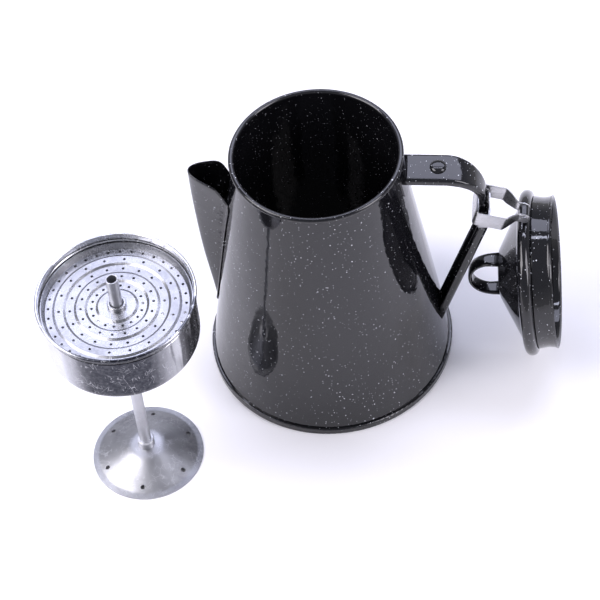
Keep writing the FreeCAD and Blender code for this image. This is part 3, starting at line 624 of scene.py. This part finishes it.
def lid_finger_loop():
    """Half-round strap bent into a loop, its feet spread on the crown."""
    thick = LOOP_HANDLE_SHEET
    middle = (LOOP_HANDLE_SPAN - thick) / 2
    foot, top, corner = CROWN - LOOP_HANDLE_SUNK, CROWN + LOOP_HANDLE_RISE - thick / 2, middle - 0.3
    line = rounded([(-middle, foot), (-middle, top, corner), (middle, top, corner), (middle, foot)], 18)
    loops = []
    for index, spot in enumerate(line):
        along = heading(line, index)
        spread = min(max(0.0, 1 - (spot[1] - CROWN) / LOOP_HANDLE_FOOT), 1.0)
        width = LOOP_HANDLE_WIDTH / 2 * (LOOP_HANDLE_WAIST + (1 - LOOP_HANDLE_WAIST) * spread)
        section = []
        for step in range(28):
            angle = 2 * math.pi * step / 28
            cos, sin = math.cos(angle), math.sin(angle)
            s = math.copysign(abs(cos) ** 0.55, cos) * width
            n = math.copysign(abs(sin) ** 0.75, sin) * thick / 2
            section.append((s, n))
        loops.append(stood(section, spot, (-along.y, along.x)))
    return place(skin("lid_finger_loop", loops, ENAMEL, matrix=HANG), "lid", "enamel", "lid_loop_handle")


# ---------------------------------------------------------------- spout
def spout_point(side, height):
    """A point of the spout's outer face: side is -1..1 across the gutter, and beyond it on the flanges."""
    radius = wall_radius(height)
    half = curve_through(SPOUT_HALF_WIDTH, height)
    reach = curve_through(SPOUT_REACH, height)
    if abs(side) <= 1:
        root = math.sqrt(radius ** 2 - half ** 2)
        return Vector((-reach + (reach - root) * side * side, half * side, height))
    y = half + (abs(side) - 1) * SPOUT_FLANGE
    return Vector((-math.sqrt((radius + STEEL) ** 2 - y * y), math.copysign(y, side), height))


def spout_shell():
    """Gutter pressed from one sheet, welded to the wall by a flange down each side."""
    sides = [-2.0, -1.6, -1.25] + [i / 16 for i in range(-16, 17)] + [1.25, 1.6, 2.0]
    rows = 44
    shape = bmesh.new()
    columns = []
    for side in sides:
        # the lip's height depends on how far out the gutter is there, and that on the height
        top = SPOUT_LIP_START
        for _ in range(30):
            top = 0.5 * top + 0.5 * curve_through(SPOUT_LIP, spout_point(side, top).x)
        heights = [SPOUT_FOOT + (top - SPOUT_FOOT) * i / rows for i in range(rows + 1)]
        columns.append([shape.verts.new(spout_point(side, height)) for height in heights])
    for left, right in zip(columns, columns[1:]):
        for i in range(rows):
            shape.faces.new((left[i], left[i + 1], right[i + 1], right[i]))
    bmesh.ops.recalc_face_normals(shape, faces=shape.faces)
    if sum(face.normal.x for face in shape.faces) > 0:
        bmesh.ops.reverse_faces(shape, faces=shape.faces)
    piece = finished("spout_shell", shape, ENAMEL)
    sheet = piece.modifiers.new("sheet", "SOLIDIFY")
    sheet.thickness = STEEL * MM
    sheet.offset = -1.0
    soft = piece.modifiers.new("soft", "SUBSURF")
    soft.levels = soft.render_levels = 1
    return place(piece, "pot", "enamel", "spout")


upper_arm()
lower_arm()
lap_tongue()
rivet()
strap_link()
lid_top()
lid_skirt()
lid_finger_loop()
spout_shell()


# ---------------------------------------------------------------- floor, light and camera
FLOOR_SIZE = 8.0
# place up the sky, colour
SKY = ((0.10, (0.81, 0.80, 0.86, 1)), (0.55, (0.34, 0.35, 0.40, 1)))
SKY_STRENGTH = 0.8
CAMERA_RISE, CAMERA_TURN, CAMERA_ROLL = math.radians(52.32), math.radians(9.5), math.radians(-6.22)
CAMERA_DISTANCE, CAMERA_LENS, CAMERA_SENSOR = 1.6, 136.3, 36.0
CAMERA_AIM = Vector((-0.0201, -0.0034, 0.04515))
SOFTBOXES = (
    # name, place, aim, width and height, power, colour
    ("key", (-1.3, -0.5, 1.5), (0, 0, 0.1), (1.3, 1.3), 33.5, (0.98, 0.95, 1.0)),
    ("fill", (1.4, -0.5, 1.2), (0, 0, 0.1), (0.7, 1.4), 18.5, (0.94, 0.915, 1.0)),
    ("back", (0.1, 1.05, 1.45), (0.05, 0, 0.18), (2.2, 0.7), 17.0, (0.77, 0.79, 1.0)),
    ("strip", (0.0, 0.45, 1.7), (0, 0, 0.2), (1.8, 0.12), 7.0, (0.78, 0.80, 1.0)),
)


def floor():
    """A wide pale floor, kept light far from the lamps."""
    mesh = bpy.data.meshes.new("floor")
    half = FLOOR_SIZE / 2
    corners = [(-half, -half, 0), (half, -half, 0), (half, half, 0), (-half, half, 0)]
    mesh.from_pydata(corners, [], [(0, 1, 2, 3)])
    graph = Graph("floor")
    graph.set(Base_Color=(0.95, 0.94, 0.95, 1.0), Roughness=0.8)
    away = graph.vector("LENGTH", graph.coords, output="Value")
    glow = graph.ramp(away, 0.8, 2.6, 0.0, 0.55)
    graph.set(Emission_Color=(0.95, 0.95, 0.97, 1.0), Emission_Strength=glow)
    mesh.materials.append(graph.material)
    plane = bpy.data.objects.new("floor", mesh)
    bpy.context.scene.collection.objects.link(plane)


def softbox(name, spot, aim, size, power, colour):
    """A rectangular area light at a spot, facing aim."""
    light = bpy.data.lights.new(name, "AREA")
    light.shape = "RECTANGLE"
    light.size, light.size_y = size
    light.energy = power
    light.color = colour
    holder = bpy.data.objects.new(name, light)
    holder.location = spot
    holder.rotation_euler = (Vector(aim) - Vector(spot)).to_track_quat("-Z", "Y").to_euler()
    bpy.context.scene.collection.objects.link(holder)


def surroundings():
    """A pale studio, lightest at the horizon and greyer overhead."""
    world = bpy.data.worlds.new("studio")
    bpy.context.scene.world = world
    world.use_nodes = True
    tree = world.node_tree
    tree.nodes.clear()
    output = tree.nodes.new("ShaderNodeOutputWorld")
    background = tree.nodes.new("ShaderNodeBackground")
    coords = tree.nodes.new("ShaderNodeTexCoord")
    split = tree.nodes.new("ShaderNodeSeparateXYZ")
    height = tree.nodes.new("ShaderNodeMapRange")
    ramp = tree.nodes.new("ShaderNodeValToRGB")
    tree.links.new(coords.outputs["Generated"], split.inputs[0])
    height.inputs["From Min"].default_value = -0.2
    height.inputs["From Max"].default_value = 1.0
    tree.links.new(split.outputs["Z"], height.inputs["Value"])
    tree.links.new(height.outputs[0], ramp.inputs[0])
    for stop, (place_up, colour) in zip(ramp.color_ramp.elements, SKY):
        stop.position = place_up
        stop.color = colour
    tree.links.new(ramp.outputs[0], background.inputs["Color"])
    background.inputs["Strength"].default_value = SKY_STRENGTH
    tree.links.new(background.outputs[0], output.inputs[0])


def camera():
    """High in front, turned a little, leaning left."""
    level = math.cos(CAMERA_RISE)
    back = Vector((math.sin(CAMERA_TURN) * level, -math.cos(CAMERA_TURN) * level, math.sin(CAMERA_RISE)))
    data = bpy.data.cameras.new("camera")
    data.sensor_width = CAMERA_SENSOR
    data.lens = CAMERA_LENS
    data.clip_start = 0.05
    holder = bpy.data.objects.new("camera", data)
    looking = (-back).to_track_quat("-Z", "Y").to_matrix() @ Matrix.Rotation(CAMERA_ROLL, 3, "Z")
    holder.matrix_world = Matrix.Translation(CAMERA_AIM + back * CAMERA_DISTANCE) @ looking.to_4x4()
    bpy.context.scene.collection.objects.link(holder)
    bpy.context.scene.camera = holder


floor()
surroundings()
for softbox_row in SOFTBOXES:
    softbox(*softbox_row)
camera()
bpy.context.scene.view_settings.view_transform = "Standard"
